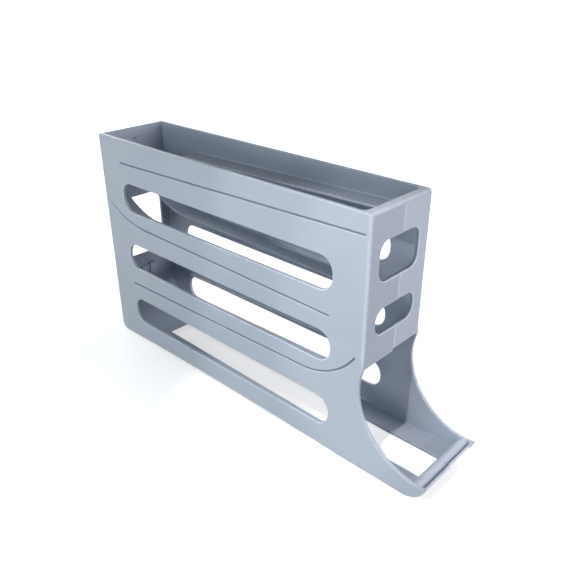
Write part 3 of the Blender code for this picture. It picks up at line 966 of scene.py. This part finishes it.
def ledge_line(tier, below):
    """Upper side of a ledge and its guide, or with below its lower side."""
    rear, front = WALL + DROP, INNER_FRONT - DROP
    middle = LEDGE_POINTS[tier]
    if tier == 1:
        return on_floor(1, (rear, *middle, INNER_FRONT + SUNK), below)
    if tier == 2:
        return guide(2, WALL - SUNK, below)[::-1] + on_floor(2, (*middle, front), below)
    if tier == 3:
        return on_floor(3, (rear, *middle), below) + guide(3, INNER_FRONT + SUNK, below)
    start = GUIDES[4][0] - OPENING_EDGE
    return on_floor(4, (start, *middle, BAR_REAR + SUNK), below)


def ledges(side):
    """The four ledges of a half, with the guides that they curve into."""
    def corner(point):
        free_ends = (WALL + DROP, INNER_FRONT - DROP)
        return LEDGE_CORNER if any(near(point[0], x) for x in free_ends) else 0.0

    for tier, nodes in LEDGE_NODES.items():
        loop = ledge_line(tier, 0.0) + ledge_line(tier, LEDGE_THICKNESS)[::-1]
        shell = Shell("Y")
        shell.add_ledge(filleted(loop, corner, least_turn=0.9), side)
        shell.finish(f"{side}_tier_{tier}_shelf", side, *nodes)


def lip_bar(side):
    """The bar that stops the eggs, and the groove and strip in front of it."""
    radius = BAR_WIDTH / 2
    centre = (BAR_REAR + radius, BAR_TOP - radius)
    setback = STRIP_SETBACKS[side]
    nose = nose_curve(STRIP_BOTTOM, STRIP_TOP, steps=6)
    strip = [(x - setback, z) for x, z in nose]
    strip_rear = strip[-1][0] - STRIP_THICKNESS
    groove = math.asin((LIP_GROOVE_BOTTOM - centre[1]) / radius)
    rear, front = BAR_REAR + BAR_WALL, BAR_REAR + BAR_WIDTH - BAR_WALL
    loop = [(BAR_REAR, BAR_FOOT)]
    loop += arc(centre, radius, math.pi, groove, steps=22)
    loop += [(strip_rear, LIP_GROOVE_BOTTOM), (strip_rear, STRIP_TOP)]
    loop += strip[::-1]
    loop += [(front, STRIP_BOTTOM), (front, BAR_CEILING)]
    loop += [(rear, BAR_CEILING), (rear, BAR_FOOT)]

    def corner(point):
        return STRIP_CORNER if near(point[1], STRIP_TOP) else BAR_CORNER

    # Painted highlight on the strip's top, painted shade low in the groove, and the
    # bar's paler top half
    def tint(point):
        x, z = point
        if z > STRIP_TOP - STRIP_CORNER / 2 and x > strip_rear - NEAR:
            return STRIP_HIGHLIGHT
        low = z < LIP_GROOVE_BOTTOM + LIP_SHADE_HEIGHT
        if low and x > centre[0] + LIP_GROOVE_START:
            return LIP_GROOVE_SHADE if z > LIP_GROOVE_BOTTOM - NEAR else 0.0
        return BAR_TOP_LIGHT_AND_RUB if z > centre[1] and x < strip_rear else 0.0

    loop = filleted(loop, corner, least_turn=0.5, steps=4)
    seam_to_panel(f"{side}_lip_bar_shell", side, "lip_bar", loop, tint=tint)


def tongue_outline(place):
    """Tongue seen from its narrow side; place maps depth and reach to a point."""
    far = GAP + TAB_THICKNESS
    lead = TAB_TIP - TAB_LEAD
    return [
        place(0.0, TAB_ROOT), place(0.0, TAB_PAD_END), place(GAP, TAB_PAD_END),
        place(GAP, lead), place(GAP + TAB_LEAD_NEAR, TAB_TIP),
        place(far - TAB_LEAD_FAR, TAB_TIP), place(far, lead), place(far, TAB_ROOT),
    ]


def on_wall(name, side, node, axis, outline, span, wall_axis, wall):
    """A plate rounded all over, apart from where it meets a wall."""
    def at_foot(place):
        return abs(place[wall_axis] - wall) < TAB_FOOT

    def corner(point):
        return 0.0 if at_foot(point) else TAB_CORNER

    def edge(middle, normal):
        return 0.0 if at_foot(middle) else TAB_EDGE

    loop = filleted(outline, corner, steps=4)
    plate(name, side, node, axis, loop, span, (edge, edge))


def tab_and_bridge(name, level):
    """A left tab, and the right half's bridge that it slides into."""
    face = INNER_FRONT if name.startswith("front") else WALL
    way = -1.0 if name.startswith("front") else 1.0
    outline = tongue_outline(lambda depth, reach: (face + way * depth, reach))
    span = (level - TAB_HEIGHT / 2, level + TAB_HEIGHT / 2)
    on_wall(f"left_{name}_tongue", "left", f"tab_{name}", "Z", outline, span, 0, face)

    inside = face + way * (TAB_THICKNESS + 2 * GAP)
    outside = inside + way * BRIDGE_WALL
    reach = TAB_HEIGHT / 2 + GAP
    outline = [
        (face, level + reach + BRIDGE_WALL), (face, level + reach),
        (inside, level + reach), (inside, level - reach), (face, level - reach),
        (face, level - reach - BRIDGE_WALL), (outside, level - reach - BRIDGE_WALL),
        (outside, level + reach + BRIDGE_WALL),
    ]
    on_wall(
        f"right_{name}_staple", "right", f"bridge_{name}", "Y",
        outline, BRIDGE_SPAN, 0, face,
    )


def lip_tongue():
    """Tab of the lip, which slides into the hollow bar of the right half."""
    outline = tongue_outline(lambda depth, reach: (reach, BAR_CEILING - depth))
    span = (BAR_REAR + BAR_WALL + GAP, BAR_REAR + BAR_WIDTH - BAR_WALL - GAP)
    on_wall("left_lip_tongue", "left", "tab_lip", "X", outline, span, 1, BAR_CEILING)


def new_node(tree, kind, **values):
    """New node; a value named in_X goes to the input X, the others to the node."""
    made = tree.nodes.new(kind)
    for name, value in values.items():
        if name.startswith("in_"):
            made.inputs[name[3:].replace("_", " ")].default_value = value
        else:
            setattr(made, name, value)
    return made


def noise(tree, vector, **values):
    made = new_node(tree, "ShaderNodeTexNoise", **values)
    tree.links.new(vector, made.inputs["Vector"])
    return made.outputs["Fac"]


def map_range(tree, source, span, results, **values):
    """The source with the span's two values turned into the two results."""
    made = new_node(
        tree, "ShaderNodeMapRange", in_From_Min=span[0], in_From_Max=span[1],
        in_To_Min=results[0], in_To_Max=results[1], **values,
    )
    tree.links.new(source, made.inputs["Value"])
    return made.outputs["Result"]


def maths(tree, operation, *sources, **values):
    """Math node whose inputs are sockets to link or plain numbers."""
    made = new_node(tree, "ShaderNodeMath", operation=operation, **values)
    for place, source in zip(made.inputs, sources):
        if isinstance(source, float):
            place.default_value = source
        else:
            tree.links.new(source, place)
    return made.outputs["Value"]


def blended(tree, share, base, colour):
    """The base colour with a share of another one."""
    made = new_node(tree, "ShaderNodeMix", data_type="RGBA", in_B=colour)
    tree.links.new(share, made.inputs["Factor"])
    tree.links.new(base, made.inputs["A"])
    return made.outputs["Result"]


def moulded_plastic():
    """Blue-grey polypropylene: soft mottling, satin grain, paler edges as painted
    highlight with some wear, and painted shade in recesses.
    """
    material = bpy.data.materials.new("moulded_polypropylene")
    material.use_nodes = True
    tree = material.node_tree
    link = tree.links.new
    shader = tree.nodes["Principled BSDF"]
    shader.inputs["Metallic"].default_value = 0.0
    shader.inputs["IOR"].default_value = 1.49
    shader.inputs["Specular IOR Level"].default_value = 0.5
    place = new_node(tree, "ShaderNodeTexCoord").outputs["Object"]

    # Clouds, and streaks of the melt's flow along the rack
    cloud = noise(tree, place, in_Scale=11.0, in_Detail=2.0, in_Roughness=0.45)
    stretch = new_node(tree, "ShaderNodeMapping", in_Scale=(6.0, 40.0, 55.0))
    link(place, stretch.inputs["Vector"])
    flow = noise(
        tree, stretch.outputs["Vector"], in_Scale=1.0, in_Detail=3.0, in_Roughness=0.5
    )
    ramp = new_node(tree, "ShaderNodeValToRGB")
    for element, position, colour in zip(
        ramp.color_ramp.elements, (0.45, 1.0), (DARKER, LIGHTER)
    ):
        element.position = position
        element.color = colour
    link(maths(tree, "MULTIPLY_ADD", flow, 0.45, cloud), ramp.inputs["Fac"])

    # Patchy paleness of edges, a painted highlight with some bleaching by wear, and
    # painted shade in grooves, gaps and inner faces
    edge = new_node(tree, "ShaderNodeAttribute", attribute_name="edge_light_and_wear")
    light_and_wear = edge.outputs["Fac"]
    edge_patch_noise = noise(tree, place, in_Scale=240.0, in_Detail=3.0)
    patches = map_range(tree, edge_patch_noise, (0.3, 0.75), (0.5, 1.0))
    share = maths(tree, "MULTIPLY", light_and_wear, patches, use_clamp=True)
    colour = blended(tree, share, ramp.outputs["Color"], HIGHLIGHT_AND_BLEACH)
    share = maths(tree, "MULTIPLY", light_and_wear, -0.6, use_clamp=True)
    link(blended(tree, share, colour, PAINTED_SHADE), shader.inputs["Base Color"])

    mottle = noise(tree, place, in_Scale=150.0, in_Detail=4.0)
    gloss = map_range(tree, mottle, (0.3, 0.7), (0.36, 0.47))
    link(gloss, shader.inputs["Roughness"])

    # Shallow waves of shrinkage, and the fine grain of the mould
    sink = noise(tree, place, in_Scale=26.0, in_Detail=1.0)
    wave = new_node(tree, "ShaderNodeBump", in_Strength=1.0, in_Distance=0.00035)
    link(sink, wave.inputs["Height"])
    grain = noise(tree, place, in_Scale=1500.0, in_Detail=2.0)
    fine = new_node(tree, "ShaderNodeBump", in_Strength=0.5, in_Distance=0.00002)
    link(grain, fine.inputs["Height"])
    link(wave.outputs["Normal"], fine.inputs["Normal"])
    link(fine.outputs["Normal"], shader.inputs["Normal"])
    return material


def hang(data, place, target, power, colour):
    """Put a lamp in its place and aim it."""
    data.energy = power
    data.color = colour
    lamp = bpy.data.objects.new(data.name, data)
    bpy.context.scene.collection.objects.link(lamp)
    lamp.location = place
    lamp.rotation_mode = "QUATERNION"
    aim = Vector(target) - Vector(place)
    lamp.rotation_quaternion = aim.to_track_quat("-Z", "Y")


def area_light(name, place, size, power, colour):
    data = bpy.data.lights.new(name, "AREA")
    data.shape = "SQUARE"
    data.size = size
    hang(data, place, LAMP_TARGET, power, colour)


def spot_light(name, place, target, angle, blend, power, colour):
    data = bpy.data.lights.new(name, "SPOT")
    data.spot_size = math.radians(angle)
    data.spot_blend = blend
    data.shadow_soft_size = SPOT_RADIUS
    hang(data, place, target, power, colour)


def seen_or_felt(tree, seen, felt):
    """Mix of two shaders: what rays that show the background see, and the rest.

    Such rays come from the eye, or off or through the object.
    """
    rays = new_node(tree, "ShaderNodeLightPath").outputs
    shown = maths(tree, "MAXIMUM", rays["Is Camera Ray"], rays["Is Glossy Ray"])
    shown = maths(tree, "MAXIMUM", shown, rays["Is Transmission Ray"])
    mix = new_node(tree, "ShaderNodeMixShader")
    tree.links.new(shown, mix.inputs["Fac"])
    tree.links.new(felt, mix.inputs[1])
    tree.links.new(seen, mix.inputs[2])
    return mix.outputs["Shader"]


def surroundings():
    """White to look at, and nearly dark as a light."""
    world = bpy.data.worlds.new("studio")
    bpy.context.scene.world = world
    world.use_nodes = True
    tree = world.node_tree
    tree.nodes.clear()
    light = new_node(
        tree, "ShaderNodeBackground", in_Color=WORLD_COLOUR, in_Strength=WORLD_STRENGTH
    )
    white = new_node(tree, "ShaderNodeBackground", in_Color=WHITE, in_Strength=1.0)
    both = seen_or_felt(tree, white.outputs["Background"], light.outputs["Background"])
    out = new_node(tree, "ShaderNodeOutputWorld")
    tree.links.new(both, out.inputs["Surface"])


def floor_material():
    """Pale floor that keeps the object's shadow and fades to white round it."""
    material = bpy.data.materials.new("pale_floor")
    material.use_nodes = True
    tree = material.node_tree
    tree.nodes.clear()
    plain = new_node(tree, "ShaderNodeBsdfDiffuse", in_Color=FLOOR_COLOUR)
    shown = new_node(tree, "ShaderNodeBsdfDiffuse", in_Color=SEEN_FLOOR_COLOUR)
    glow = new_node(tree, "ShaderNodeEmission", in_Color=WHITE)
    reach = new_node(tree, "ShaderNodeVectorMath", operation="LENGTH")
    place = new_node(tree, "ShaderNodeTexCoord").outputs["Object"]
    tree.links.new(place, reach.inputs[0])
    strength = map_range(
        tree, reach.outputs["Value"], GLOW_DISTANCES, GLOW_STRENGTHS,
        interpolation_type="SMOOTHSTEP",
    )
    tree.links.new(strength, glow.inputs["Strength"])
    lit = new_node(tree, "ShaderNodeAddShader")
    tree.links.new(shown.outputs["BSDF"], lit.inputs[0])
    tree.links.new(glow.outputs["Emission"], lit.inputs[1])
    both = seen_or_felt(tree, lit.outputs["Shader"], plain.outputs["BSDF"])
    out = new_node(tree, "ShaderNodeOutputMaterial")
    tree.links.new(both, out.inputs["Surface"])
    return material


def studio():
    """White surroundings, floor and lamps."""
    surroundings()
    mesh = bpy.data.meshes.new("floor")
    corners = ((-1, -1), (1, -1), (1, 1), (-1, 1))
    points = [(x * FLOOR_HALF, y * FLOOR_HALF, FLOOR_HEIGHT) for x, y in corners]
    mesh.from_pydata(points, [], [(0, 1, 2, 3)])
    mesh.materials.append(floor_material())
    floor = bpy.data.objects.new("floor", mesh)
    bpy.context.scene.collection.objects.link(floor)
    for lamp in LAMPS:
        area_light(*lamp)
    for lamp in SPOTS:
        spot_light(*lamp)


def camera():
    data = bpy.data.cameras.new("camera")
    data.sensor_width = CAMERA_SENSOR
    data.lens = CAMERA_LENS
    eye = bpy.data.objects.new("camera", data)
    bpy.context.scene.collection.objects.link(eye)
    eye.location = CAMERA_PLACE
    eye.rotation_mode = "QUATERNION"
    eye.rotation_quaternion = Vector(CAMERA_AIM).to_track_quat("-Z", "Y")
    bpy.context.scene.camera = eye


PLASTIC = moulded_plastic()
for name, level in TAB_LEVELS:
    tab_and_bridge(name, level)
lip_tongue()
for side in OUTWARD:
    side_panel(side)
    front_wall(side)
    front_rim(side)
    rear_band(side)
    rear_post(side)
    rear_chute(side)
    ledges(side)
    lip_bar(side)

studio()
camera()
bpy.context.scene.view_settings.view_transform = "Standard"
